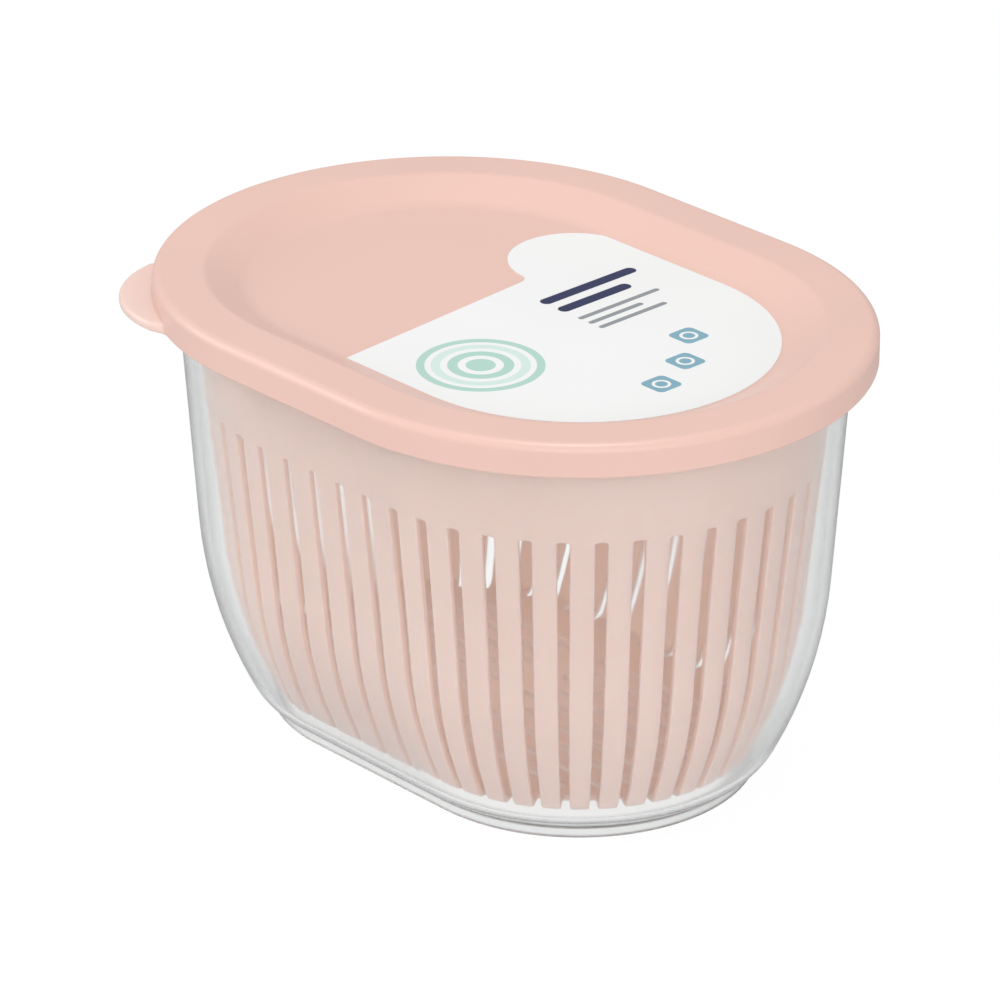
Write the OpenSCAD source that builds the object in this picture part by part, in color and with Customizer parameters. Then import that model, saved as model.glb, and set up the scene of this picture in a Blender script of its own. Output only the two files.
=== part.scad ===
// Oval onion keeper: a clear container, a slotted drain basket hung in its
// mouth, a soft snap lid with a thumb tab, and a printed label on the lid.
// Millimetres. The origin is the centre of the underside, +Z is up, and +X
// runs along the oval.

/* [Outline] */
// Length of the lid, without its thumb tab
length = 170; // [150:1:190]
// Width of the lid
width = 128; // [116:1:140]
// Height from the table to the top of the lid
height = 104; // [92:1:130]

/* [Container] */
// Wall and floor thickness
wall = 2; // [1.4:0.1:2.4]
// Lean of the upper wall from upright, in degrees
draft = 3.8; // [2:0.1:5]
// Lean of the lower wall from upright, in degrees
lower_lean = 26; // [20:1:32]
// Height at which the lines of the upper and the lower wall would meet
belly_height = 26; // [22:1:32]
// Radius that blends the upper wall into the lower wall
belly_r = 98; // [60:1:100]
// Radius of the edge between the wall and the base
corner_r = 10; // [6:0.5:12]
// Thickness of the lip around the mouth
lip_thickness = 1.8; // [1.2:0.1:2.2]
// How far the lip stands out from the wall
lip_overhang = 3; // [2:0.1:4]
// Height of the ring that the container stands on
foot_height = 2; // [1:0.1:3]
// Width of that ring
foot_wall = 2; // [1.2:0.1:3]
// How far the ring lies inside the edge where wall and base would meet
foot_inset = 2.4; // [1.5:0.1:4]

/* [Basket] */
// Thickness of the basket's wall and floor
basket_wall = 1.6; // [1.2:0.1:2]
// Lean of the basket's upper wall from upright, in degrees
basket_draft = 5.7; // [4.5:0.1:6.5]
// Lean of the basket's lower wall from upright, in degrees
basket_lean = 25; // [22:1:32]
// Height above the basket's underside at which its two wall lines would meet
basket_belly_height = 17; // [14:1:20]
// Radius that blends the basket's upper wall into its lower wall
basket_belly_r = 84; // [50:1:86]
// Radius of the edge between the basket's wall and floor
basket_corner_r = 3.6; // [2.5:0.1:6]
// Thickness of the flange that hangs on the container's lip
flange_thickness = 1.5; // [1:0.1:2]
// Slots in each quarter of the basket's wall
slots_per_quarter = 13; // [8:1:15]
// Width of a slot at its upper end
slot_top_w = 2.7; // [1.5:0.1:3]
// Width of a slot at its lower end
slot_bottom_w = 1.9; // [1.2:0.1:2.4]
// Plain band between the lid's skirt and the top of the slots
plain_band = 19.5; // [12:0.5:30]
// How far a slot runs on under the basket's rounded edge
slot_under = 2.5; // [0:0.5:4]
// Rows of drain slits on each side of the row along the basket's middle
slit_rows = 4; // [2:1:4]
// Distance from one row of slits to the next
slit_pitch = 5.9; // [4.5:0.1:6]
// Width of a drain slit
slit_w = 1.8; // [1:0.1:2.5]
// Width of the bar across the middle of the floor, between the slits
slit_bar = 8; // [4:1:14]
// Plain border between the slits and the edge of the flat floor
slit_border = 6; // [4:0.5:10]

/* [Lid] */
// Thickness of the lid
lid_wall = 1.5; // [1.2:0.1:1.8]
// Height of the lid's skirt
skirt_height = 7.5; // [6.5:0.1:10]
// Width of the flat rim round the recess
rim_flat = 11.4; // [9:0.1:14]
// Depth of the recess in the lid
recess_depth = 4.5; // [2:0.1:6]
// Width of the slope between the rim and the floor of the recess
recess_slope = 8.9; // [6:0.1:12]
// Radius of the lid's outer upper edge
rim_round = 2; // [0.8:0.1:2.4]
// Radius of the edge between the rim and the slope
recess_round = 3; // [1:0.5:6]
// How far the snap bead stands in from the skirt
bead_depth = 0.4; // [0.2:0.1:0.6]
// Height of the snap bead
bead_height = 1.2; // [0.8:0.1:1.4]
// Radius of the thumb tab in plan
tab_r = 24; // [16:1:30]
// How far the thumb tab stands out from the skirt
tab_reach = 7.3; // [5:0.1:10]
// Thickness of the thumb tab
tab_thickness = 2.2; // [1.6:0.1:3]
// Direction of the thumb tab, in degrees from the -X end towards the -Y side
tab_angle = 50; // [0:1:90]

/* [Label] */
// Thickness of the label
label_thickness = 0.25; // [0.1:0.05:0.5]
// Gap between the label and the foot of the recess's slope
label_margin = 0.5; // [0.2:0.1:3]
// Distance from the middle of the lid to the label's straight cut
label_cut = 8.6; // [0:0.1:20]
// Turn of the straight cut, in degrees
label_turn = 4.5; // [0:0.5:10]
// Radius of the round lobe beside the straight cut
lobe_r = 14.8; // [10:0.1:16]
// Distance along the cut from the lid's long axis to the middle of the lobe
lobe_offset = 29.3; // [26:0.1:30]
// Radius of the inner corner between the cut and the lobe
lobe_fillet = 3; // [1:0.5:4]

/* [Clearances] */
// Between the snap bead and the container's lip
bead_gap = 0.35; // [0.3:0.05:0.5]
// Between the lid and the basket's flange below it
lid_gap = 0.3; // [0.2:0.05:0.5]
// Between the underside of the lip and the top of the snap bead
snap_gap = 0.4; // [0.3:0.1:0.6]
// Between the edge of the basket's flange and the edge of the lip
flange_inset = 0.5; // [0.3:0.1:1]
// Between the basket and the container's wall, at the mouth
basket_gap = 1.3; // [1:0.1:2]
// Between the basket's underside and the container's floor
drain_gap = 3.3; // [2:0.1:3.8]

/* [Hidden] */
$fn = 96;

clear_tint = [0.86, 0.90, 0.91, 0.35];
basket_pink = [0.90, 0.76, 0.71];
lid_pink = [0.93, 0.78, 0.73];
label_white = [0.97, 0.97, 0.96];

// How far a cutting shape reaches past what it cuts
over = 1;
// Small rounding of thin free edges
edge_round = 0.5;
// How far an arc's piece reaches past the line between its two ends, as a share
// of the distance from the corner to either end
arc_root = 0.1;
// How deep the standing ring is rooted in the floor, as a share of its thickness
foot_root = 0.7;
// Rounding of the thumb tab's edge, as a share of its thickness
tab_edge = 0.4;

// Every level of the keeper is an oval: two half circles about the end axes,
// which stand this far from the middle, joined by straight sides
straight = (length - width) / 2;

lid_r = width / 2;
skirt_in = lid_r - lid_wall;
bead_in = skirt_in - bead_depth;
skirt_bottom = height - skirt_height;
lid_under = height - lid_wall;

lip_r = bead_in - bead_gap;
flange_top = lid_under - lid_gap;
rim_top = flange_top - flange_thickness;
lip_bottom = rim_top - lip_thickness;
mouth_r = lip_r - lip_overhang;

basket_bottom = foot_height + wall + drain_gap;
basket_mouth = mouth_r - wall / cos(draft) - basket_gap;
flange_r = lip_r - flange_inset;

// A wall line is [reach, lean]: reach is its distance from the end axis where
// it would meet the table, and lean its angle from upright
function line_through(point, lean) = [point.x - point.y * tan(lean), lean];
function inset_line(line, inset) = [line[0] - inset / cos(line[1]), line[1]];
function on_line(line, z) = [line[0] + z * tan(line[1]), z];
function where_lines_meet(a, b) = on_line(a, (a[0] - b[0]) / (tan(b[1]) - tan(a[1])));

// Lines of the container's outer wall
upper_line = line_through([mouth_r, rim_top], draft);
lower_line = line_through(on_line(upper_line, belly_height), lower_lean);

// Lines of the basket's outer wall
basket_upper = line_through([basket_mouth, rim_top], basket_draft);
basket_lower = line_through(
    on_line(basket_upper, basket_bottom + basket_belly_height), basket_lean);

// Edge of the basket's flat floor, where its rounded edge begins
basket_foot = on_line(basket_lower, basket_bottom).x
    - basket_corner_r * tan((90 - basket_lean) / 2);

// Corners of a vessel's outline as [x, z, radius], from the axis outwards and
// up to the level top; inset gives the inner face of the same wall
function vessel(upper, lower, bottom, top, belly, corner, inset = 0) =
    let (
        up = inset_line(upper, inset),
        low = inset_line(lower, inset),
        knee = where_lines_meet(up, low),
        base = on_line(low, bottom + inset),
        rim = on_line(up, top)
    )
    [
        [0, base.y, 0],
        [base.x, base.y, corner - inset],
        [knee.x, knee.y, belly - inset],
        [rim.x, rim.y, 0],
        [0, rim.y, 0]
    ];

// Direction from point a to point b
function toward(a, b) = (b - a) / norm(b - a);

// A polygon whose corners [x, y, radius] are rounded by true arcs. The corners
// run anticlockwise, and a corner of radius 0 stays sharp
module rounded_outline(corners) {
    count = len(corners);
    at = [for (c = corners) [c[0], c[1]]];
    before = [for (i = [0:count - 1]) toward(at[i], at[(i + count - 1) % count])];
    after = [for (i = [0:count - 1]) toward(at[i], at[(i + 1) % count])];
    half = [for (i = [0:count - 1]) acos(before[i] * after[i]) / 2];
    reach = [for (i = [0:count - 1]) corners[i][2] / tan(half[i])];
    convex = [for (i = [0:count - 1]) cross(after[i], before[i]) > 0];
    // The piece between a corner's arc and the line between its two ends
    module arc_piece(i) {
        middle = (before[i] + after[i]) / norm(before[i] + after[i]);
        past_line = at[i] + middle * reach[i] * (cos(half[i]) + arc_root);
        intersection() {
            polygon([at[i] + reach[i] * before[i], at[i], at[i] + reach[i] * after[i], past_line]);
            translate(at[i] + middle * corners[i][2] / sin(half[i])) circle(corners[i][2]);
        }
    }
    difference() {
        union() {
            polygon([for (i = [0:count - 1], side = corners[i][2] > 0 ? [0, 1] : [0])
                at[i] + reach[i] * (side == 0 ? before[i] : after[i])]);
            for (i = [0:count - 1]) if (corners[i][2] > 0 && convex[i]) arc_piece(i);
        }
        for (i = [0:count - 1]) if (corners[i][2] > 0 && !convex[i]) arc_piece(i);
    }
}

// Sweeps a section, drawn from the axis outwards, round the oval
module around_oval() {
    for (end = [0, 180])
        rotate(end) translate([straight, 0, 0]) rotate(-90)
            rotate_extrude(angle = 180) children();
    rotate([90, 0, 90]) linear_extrude(2 * straight, center = true) {
        children();
        mirror([1, 0]) children();
    }
}

// A flat oval in plan, of the given end radius
module oval(r) {
    for (side = [-1, 1]) translate([side * straight, 0]) circle(r);
    square([2 * straight, 2 * r], center = true);
}

module container_section() {
    difference() {
        rounded_outline(vessel(upper_line, lower_line, foot_height, rim_top,
            belly_r, corner_r));
        rounded_outline(vessel(upper_line, lower_line, foot_height, rim_top + over,
            belly_r, corner_r, wall));
    }
    // Lip round the mouth, rooted in the wall
    lip_root = mouth_r - wall / 2;
    rounded_outline([
        [lip_root, lip_bottom, 0],
        [lip_r, lip_bottom, edge_round],
        [lip_r, rim_top, edge_round],
        [lip_root, rim_top, 0]
    ]);
    // Standing ring under the edge of the base, rooted in the floor
    foot_out = on_line(lower_line, foot_height).x - foot_inset;
    foot_top = foot_height + wall * foot_root;
    rounded_outline([
        [foot_out - foot_wall, 0, edge_round],
        [foot_out, 0, edge_round],
        [foot_out, foot_top, 0],
        [foot_out - foot_wall, foot_top, 0]
    ]);
}

module container() {
    color(clear_tint) around_oval() container_section();
}

module basket_section() {
    difference() {
        union() {
            rounded_outline(vessel(basket_upper, basket_lower, basket_bottom, flange_top,
                basket_belly_r, basket_corner_r));
            rounded_outline([
                [basket_mouth - basket_wall / 2, rim_top, 0],
                [flange_r, rim_top, edge_round],
                [flange_r, flange_top, edge_round],
                [basket_mouth - basket_wall / 2, flange_top, 0]
            ]);
        }
        rounded_outline(vessel(basket_upper, basket_lower, basket_bottom, flange_top + over,
            basket_belly_r, basket_corner_r, basket_wall));
    }
}

// Cuts one wall slot that faces +Y, narrowing downwards
module wall_slot() {
    slot_top = skirt_bottom - plain_band;
    slot_in = basket_foot - slot_under;
    slot_out = basket_mouth + over;
    translate([0, slot_out, 0]) rotate([90, 0, 0]) linear_extrude(slot_out - slot_in)
        polygon([
            [-slot_bottom_w / 2, basket_bottom - over],
            [slot_bottom_w / 2, basket_bottom - over],
            [slot_top_w / 2, slot_top],
            [-slot_top_w / 2, slot_top]
        ]);
}

// Cuts the wall slots of one quarter, evenly spaced round the mouth
module quarter_slots() {
    slot_r = basket_mouth;
    quarter = straight + slot_r * PI / 2;
    pitch = quarter / slots_per_quarter;
    for (i = [0:slots_per_quarter - 1])
        let (along = (i + 0.5) * pitch)
            if (along < straight) translate([along, 0, 0]) wall_slot();
            else translate([straight, 0, 0]) rotate((straight - along) / slot_r * 180 / PI) wall_slot();
}

// Drain slits of the floor, parallel to the long axis, with a bar across the middle
module floor_slits() {
    slit_field = basket_foot - slit_border;
    for (row = [-slit_rows:slit_rows])
        let (
            y = row * slit_pitch,
            end = straight + sqrt(pow(slit_field, 2) - pow(y, 2))
        )
            for (side = [0, 1]) mirror([side, 0, 0])
                translate([slit_bar / 2, y - slit_w / 2, basket_bottom - over])
                    cube([end - slit_bar / 2, slit_w, basket_wall + 2 * over]);
}

module basket() {
    color(basket_pink) difference() {
        around_oval() basket_section();
        for (flip_x = [0, 1], flip_y = [0, 1])
            mirror([flip_x, 0, 0]) mirror([0, flip_y, 0]) quarter_slots();
        floor_slits();
    }
}

// The lid's section: skirt with its snap bead, flat rim, slope and floor
module lid_section() {
    slope = atan(recess_depth / recess_slope);
    rim_in = lid_r - rim_flat;
    floor_r = rim_in - recess_slope;
    floor_top = height - recess_depth;
    under_shift = lid_wall * tan(slope / 2);
    bead_top = lip_bottom - snap_gap;
    bead_bottom = bead_top - bead_height;
    rounded_outline([
        [0, floor_top - lid_wall, 0],
        [floor_r + under_shift, floor_top - lid_wall, recess_round + lid_wall],
        [rim_in + under_shift, lid_under, recess_round],
        [skirt_in, lid_under, 0],
        [skirt_in, bead_top, 0],
        [bead_in, bead_top - bead_depth, 0],
        [bead_in, bead_bottom + bead_depth, 0],
        [skirt_in, bead_bottom, 0],
        [skirt_in, skirt_bottom, edge_round],
        [lid_r, skirt_bottom, edge_round],
        [lid_r, height, rim_round],
        [rim_in, height, recess_round],
        [floor_r, floor_top, recess_round],
        [0, floor_top, 0]
    ]);
}

// Thumb tab level with the foot of the skirt: a round plate that the skirt cuts off
module thumb_tab() {
    tab_round = tab_thickness * tab_edge;
    difference() {
        translate([-straight, 0, skirt_bottom]) rotate(180 + tab_angle)
            translate([lid_r + tab_reach - tab_r, 0, 0])
                rotate_extrude() rounded_outline([
                    [0, 0, 0],
                    [tab_r, 0, tab_round],
                    [tab_r, tab_thickness, tab_round],
                    [0, tab_thickness, 0]
                ]);
        translate([0, 0, skirt_bottom - over])
            linear_extrude(tab_thickness + 2 * over) oval(lid_r - lid_wall / 2);
    }
}

module lid() {
    color(lid_pink) {
        around_oval() lid_section();
        thumb_tab();
    }
}

// The label's outline: the floor of the recess beyond a straight cut, with a
// round lobe centred on the cut
module label_outline() {
    field_r = lid_r - rim_flat - recess_slope - label_margin;
    reach = length;
    drop = sqrt(pow(lobe_r + lobe_fillet, 2) - pow(lobe_fillet, 2));
    fillet_at = [-lobe_fillet, lobe_offset - drop];
    intersection() {
        oval(field_r);
        translate([-label_cut, 0]) rotate(label_turn) {
            translate([0, -reach]) square([reach, 2 * reach]);
            translate([0, lobe_offset]) circle(lobe_r);
            difference() {
                polygon([fillet_at, [0, fillet_at.y], [0, lobe_offset]]);
                translate(fillet_at) circle(lobe_fillet);
            }
        }
    }
}

module label() {
    color(label_white) translate([0, 0, height - recess_depth])
        linear_extrude(label_thickness) label_outline();
}

container();
basket();
lid();
label();
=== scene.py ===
"""Looks of the oval onion keeper: clear container, slotted drain basket, soft
snap lid and printed label, on a pale studio floor. Metres, +Z up; lengths in
the pieces' own values are millimetres, turned to metres by MM."""
import math

import bmesh
import bpy
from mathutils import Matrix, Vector


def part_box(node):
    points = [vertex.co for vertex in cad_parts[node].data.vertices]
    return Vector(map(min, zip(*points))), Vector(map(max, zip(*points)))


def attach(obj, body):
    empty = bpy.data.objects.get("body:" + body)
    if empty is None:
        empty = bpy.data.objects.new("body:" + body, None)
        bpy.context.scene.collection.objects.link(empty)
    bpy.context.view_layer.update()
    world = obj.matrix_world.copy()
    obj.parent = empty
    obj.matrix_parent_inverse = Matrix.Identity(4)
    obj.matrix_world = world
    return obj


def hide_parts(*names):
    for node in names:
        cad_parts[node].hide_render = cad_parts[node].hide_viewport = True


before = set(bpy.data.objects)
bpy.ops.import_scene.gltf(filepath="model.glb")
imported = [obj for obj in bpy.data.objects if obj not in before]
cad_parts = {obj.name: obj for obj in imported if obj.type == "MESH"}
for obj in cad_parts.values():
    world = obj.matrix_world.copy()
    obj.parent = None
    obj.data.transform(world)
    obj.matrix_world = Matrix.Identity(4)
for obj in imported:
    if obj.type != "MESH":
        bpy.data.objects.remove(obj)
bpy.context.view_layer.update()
lid_low, lid_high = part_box("lid")
_, container_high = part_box("container")
basket_low, basket_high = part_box("basket")

MM = 0.001

# Camera: the photograph's own viewing angle
CAMERA_AZIMUTH = math.radians(46.88)
CAMERA_ELEVATION = math.radians(25.34)
CAMERA_DISTANCE = 1.262
CAMERA_TARGET = Vector((-0.00175, -0.00187, 0.05426))
CAMERA_LENS = 207.4
CAMERA_SENSOR = 36.0
CAMERA_NEAR = 0.01
CAMERA_FAR = 50.0

# Studio
FLOOR_HALF = 4.0
FLOOR_DROP = 0.0002
FLOOR_GREY = 0.86
FLOOR_WHITE_SHARE = 0.95
FLOOR_GLOW = 1.02
WORLD_LEVEL = 0.73
MIRRORED_LEVEL = 0.45
# Lamps: place, size and power
LIGHTS = {
    "front": ((0.95, -0.7, 0.42), (1.5, 0.6), 5.0),
    "left": ((-1.1, -0.75, 0.75), (0.8, 0.8), 5.3),
    "top": ((0.1, -0.1, 1.5), (0.5, 0.5), 5.5),
}
LIGHTS_TARGET = (0, 0, 0.06)
GLOW_PLACE = (0, 0, 0.055)
GLOW_POWER = 0.021
GLOW_SIZE = 0.02

# Every level is an oval: two half circles about the end axes, with straight sides
LID_R = lid_high.y / MM
STRAIGHT = lid_high.x / MM - LID_R
HEIGHT = lid_high.z / MM
EDGE_ROUND = 0.5

# Mesh making: arcs as large as LARGE_ARC get finer steps
ARC_STEP = math.radians(7.5)
LEAST_ARC_STEPS = 3
LARGE_ARC = 20.0
LARGE_ARC_STEP = ARC_STEP / 3
MERGE_WITHIN = 0.002
NO_AREA_WITHIN = 0.001
SHARP_ANGLE = math.radians(50)

# Container: drafts and leans are in degrees from upright
WALL = 2.0
RIM_TOP = container_high.z / MM
LIP_R = container_high.y / MM
LIP_THICKNESS = 1.8
LIP_OVERHANG = 3.0
MOUTH_R = LIP_R - LIP_OVERHANG
DRAFT = 3.8
LOWER_LEAN = 26.0
BELLY_HEIGHT = 26.0
BELLY_R = 98.0
CORNER_R = 10.0
FOOT_HEIGHT = 2.0
FOOT_WALL = 2.0
FOOT_INSET = 2.4
FOOT_FILLET = 1.2
CONTAINER_STEPS = 120

# Basket: a slot cell has rings of faces past the slot, by the band and by the floor
BASKET_WALL = 1.6
BASKET_DRAFT = 5.7
BASKET_LEAN = 25.0
BASKET_BELLY_HEIGHT = 17.0
BASKET_BELLY_R = 84.0
BASKET_CORNER_R = 3.6
BASKET_GAP = 1.3
BASKET_BOTTOM = basket_low.z / MM
FLANGE_TOP = basket_high.z / MM
FLANGE_R = basket_high.y / MM
SLOTS = 52
SLOT_TOP = 77.0
SLOT_TOP_W = 2.7
SLOT_BOTTOM_W = 1.9
SLOT_UNDER = 2.5  # how far a slot runs on under the floor
SLOT_ROUND = 0.35
SLOT_END = 0.7
END_SQUARE = 0.6  # 1 is a round end, less is squarer
END_TURNS = [math.radians(a) for a in (-90, -62, -34, 0, 34, 62, 90)]
EDGE_STEPS = 3
BAND_RING = 2.0
FLOOR_RING = 2.0
FLANGE_FILLET = 0.4
SLIT_ROWS = 4
SLIT_PITCH = 5.9
SLIT_W = 1.8
SLIT_BAR = 8.0  # the uncut bar between the slits of a row
SLIT_BORDER = 6.0
SLIT_ROUND = 0.25
SLIT_CORNER = 0.5

# Lid: the tab's plate grows out of the skirt as its reach goes through TAB_RISE
LID_WALL = 1.5
SKIRT_BOTTOM = lid_low.z / MM
RIM_FLAT = 11.4
RECESS_DEPTH = 4.5
RECESS_SLOPE = 8.9
RIM_ROUND = 2.0
RECESS_ROUND = 3.0
RECESS_FOOT_ROUND = 8.5
BEAD_DEPTH = 0.4
BEAD_HEIGHT = 1.2
BEAD_UP = 0.8
BEAD_ROUND = 0.2
TAB_R = 24.0
TAB_REACH = 7.3
TAB_THICKNESS = 2.2
TAB_ROUND = 0.88
TAB_ANGLE = math.radians(230)
TAB_BLEND = 3.0
TAB_RISE = (0.3, 3.0)
TAB_FILLET = 0.5
TAB_UNDER = 0.3
TAB_STEPS = 4
TAB_ROWS = 8
LID_STEPS = 180


def linear(red, green, blue):
    """An sRGB colour, 0 to 255, as Blender's linear RGBA."""
    def channel(value):
        value /= 255
        return value / 12.92 if value <= 0.04045 else ((value + 0.055) / 1.055) ** 2.4
    return (channel(red), channel(green), channel(blue), 1.0)


LID_PINK = linear(226, 188, 176)
# painted light: a paler pink for the thumb tab
TAB_PAINTED_LIGHT_PINK = linear(233, 204, 194)
BASKET_PINK = linear(243, 204, 193)
LABEL_WHITE = linear(234, 235, 234)
MINT = linear(172, 208, 196)
PALE_MINT = linear(205, 226, 219)
TEAL = linear(122, 166, 184)
NAVY = linear(14, 30, 80)
GREY = linear(138, 143, 148)

# The label's generic print, in millimetres: rings (radius, half width), bars
# (centre, half sizes) and small tiles (centre)
PRINT_SOFT = 0.06
RING_CENTRE = (17.0, -25.0)
RINGS = [(0.0, 3.2, MINT), (6.0, 1.1, MINT), (9.6, 1.0, PALE_MINT), (12.8, 0.9, MINT)]
BARS = [
    (2.0, 21.0, 1.5, 14.0, NAVY),
    (7.6, 17.5, 1.5, 10.5, NAVY),
    (13.6, 19.0, 0.7, 12.0, GREY),
    (16.8, 15.0, 0.7, 8.0, GREY),
    (20.0, 17.0, 0.7, 10.0, GREY),
]
TILES = [(36.0, 18.0), (45.0, 8.0), (50.0, -4.0)]
TILE_HALF = 3.4
TILE_CORNER = 1.4
TILE_DOT = 1.7
TILE_RING = 0.35

# Finishes: roughness, grain scale and grain depth in millimetres
LID_FINISH = (0.34, 650.0, 0.008)
BASKET_FINISH = (0.36, 500.0, 0.005)
LABEL_FINISH = (0.38, 700.0, 0.004)
CLEAR_FINISH = (0.05, 40.0, 0.0)
NOISE_DETAIL = 1.0
PATCH_SCALE = 22.0
PATCH_RANGE = (0.3, 0.7)
PATCH_TONE = (0.985, 1.015)
GLOSS_CHANGE = 0.03
TAB_PAINTED_LIGHT_EDGE = 0.05  # how far past the skirt the painted light on the tab begins

# Light inside the basket's walls
SUBSURFACE_WEIGHT = 0.7
SUBSURFACE_RADIUS = (0.012, 0.008, 0.006)

# Clear plastic with painted grey shade towards its outline, and the satin band low on it
PLASTIC_IOR = 1.5
CLEAR_TINT = linear(253, 254, 254)
EDGE_PAINTED_SHADE = linear(190, 193, 193)
EDGE_PAINTED_SHADE_FACING = (0.45, 1.0)
FROST_TINT = linear(240, 241, 241)
FROST_ROUGHNESS = 0.5
FROST_HEIGHTS = (6.5, 3.5)  # where it begins and is full
FROST_BORDER = 1.0


# Outlines

def line_through(x, z, lean):
    """A wall line [reach at z = 0, tangent of its lean from upright]."""
    slope = math.tan(math.radians(lean))
    return (x - z * slope, slope)


def inset_line(line, inset):
    """A wall line moved inwards, square to itself."""
    return (line[0] - inset * math.hypot(1, line[1]), line[1])


def on_line(line, z):
    """The point (reach, height) of a wall line at a height."""
    return (line[0] + z * line[1], z)


def meeting(a, b):
    """The point where two wall lines cross."""
    return on_line(a, (a[0] - b[0]) / (b[1] - a[1]))


def round_corners(corners, closed=False):
    """The outline through corners (x, z, radius), with each corner rounded by an arc."""
    outline = []
    count = len(corners)
    for i, (x, z, radius) in enumerate(corners):
        at = Vector((x, z))
        if radius == 0 or (not closed and i in (0, count - 1)):
            outline.append(at)
            continue
        before = (Vector(corners[i - 1][:2]) - at).normalized()
        after = (Vector(corners[(i + 1) % count][:2]) - at).normalized()
        half = before.angle(after) / 2
        middle = at + (before + after).normalized() * radius / math.sin(half)
        start = at + before * radius / math.tan(half) - middle
        end = at + after * radius / math.tan(half) - middle
        turn = start.angle_signed(end)
        step = ARC_STEP if radius < LARGE_ARC else LARGE_ARC_STEP
        steps = max(LEAST_ARC_STEPS, math.ceil(abs(turn) / step))
        for k in range(steps + 1):
            angle = -turn * k / steps
            outline.append(middle + Vector((
                start.x * math.cos(angle) - start.y * math.sin(angle),
                start.x * math.sin(angle) + start.y * math.cos(angle))))
    return outline


def wall_face(upper, lower, bottom, top, belly, corner, inset):
    """Outline of a vessel's wall face, from its middle outwards and up to its top."""
    up = inset_line(upper, inset)
    low = inset_line(lower, inset)
    base = on_line(low, bottom + inset)
    knee = meeting(up, low)
    return round_corners([(0, base[1], 0), (*base, corner - inset), (*knee, belly - inset),
                          (*on_line(up, top), 0)])


def height_at(outline, x):
    """Height of an outline that runs outwards where it passes x."""
    for a, b in zip(outline, outline[1:]):
        if a.x <= x <= b.x:
            return a.y + (b.y - a.y) * (x - a.x) / (b.x - a.x)


container_upper = line_through(MOUTH_R, RIM_TOP, DRAFT)
container_lower = line_through(*on_line(container_upper, BELLY_HEIGHT), LOWER_LEAN)
FOOT_OUT = on_line(container_lower, FOOT_HEIGHT)[0] - FOOT_INSET
FOOT_IN = FOOT_OUT - FOOT_WALL
BASKET_MOUTH = MOUTH_R - WALL / math.cos(math.radians(DRAFT)) - BASKET_GAP
basket_upper = line_through(BASKET_MOUTH, RIM_TOP, BASKET_DRAFT)
basket_lower = line_through(
    *on_line(basket_upper, BASKET_BOTTOM + BASKET_BELLY_HEIGHT), BASKET_LEAN)
BASKET_FOOT = on_line(basket_lower, BASKET_BOTTOM)[0] - BASKET_CORNER_R * math.tan(
    math.radians(90 - BASKET_LEAN) / 2)


def container_face(inset):
    """The container's wall face at a depth, from the middle of its floor to its top."""
    return wall_face(
        container_upper, container_lower, FOOT_HEIGHT, RIM_TOP, BELLY_R, CORNER_R, inset)


def container_section():
    """The container's wall as an open outline from the middle of its underside to
    the middle of its floor."""
    outer = container_face(0)
    inner = container_face(WALL)
    lip_bottom = RIM_TOP - LIP_THICKNESS
    corners = [
        (0, FOOT_HEIGHT, 0),
        (FOOT_IN, height_at(outer, FOOT_IN), FOOT_FILLET),
        (FOOT_IN, 0, EDGE_ROUND),
        (FOOT_OUT, 0, EDGE_ROUND),
        (FOOT_OUT, height_at(outer, FOOT_OUT), FOOT_FILLET),
    ]
    corners += [(p.x, p.y, 0) for p in outer[:-1] if p.x > FOOT_OUT + FOOT_FILLET]
    corners += [
        (on_line(container_upper, lip_bottom)[0], lip_bottom, EDGE_ROUND),
        (LIP_R, lip_bottom, EDGE_ROUND),
        (LIP_R, RIM_TOP, EDGE_ROUND),
        (on_line(inset_line(container_upper, WALL), RIM_TOP)[0], RIM_TOP, EDGE_ROUND),
    ]
    corners += [(p.x, p.y, 0) for p in reversed(inner[:-1])]
    return round_corners(corners)


def quarter_turn(steps):
    """Angles that part a quarter turn into equal steps, both ends included."""
    return [math.pi / 2 * k / steps for k in range(steps + 1)]


# Objects

def new_object(name, data):
    """An object at the origin, linked to the scene."""
    made = bpy.data.objects.new(name, data)
    bpy.context.scene.collection.objects.link(made)
    return made


def smooth(piece):
    """Smooth shading that keeps hard edges, with normals led by the larger faces."""
    piece.data.polygons.foreach_set("use_smooth", [True] * len(piece.data.polygons))
    piece.data.set_sharp_from_angle(angle=SHARP_ANGLE)
    weighted = piece.modifiers.new("weighted normals", "WEIGHTED_NORMAL")
    weighted.keep_sharp = True
    bpy.context.view_layer.objects.active = piece
    bpy.ops.object.modifier_apply(modifier=weighted.name)


# Node trees

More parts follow.
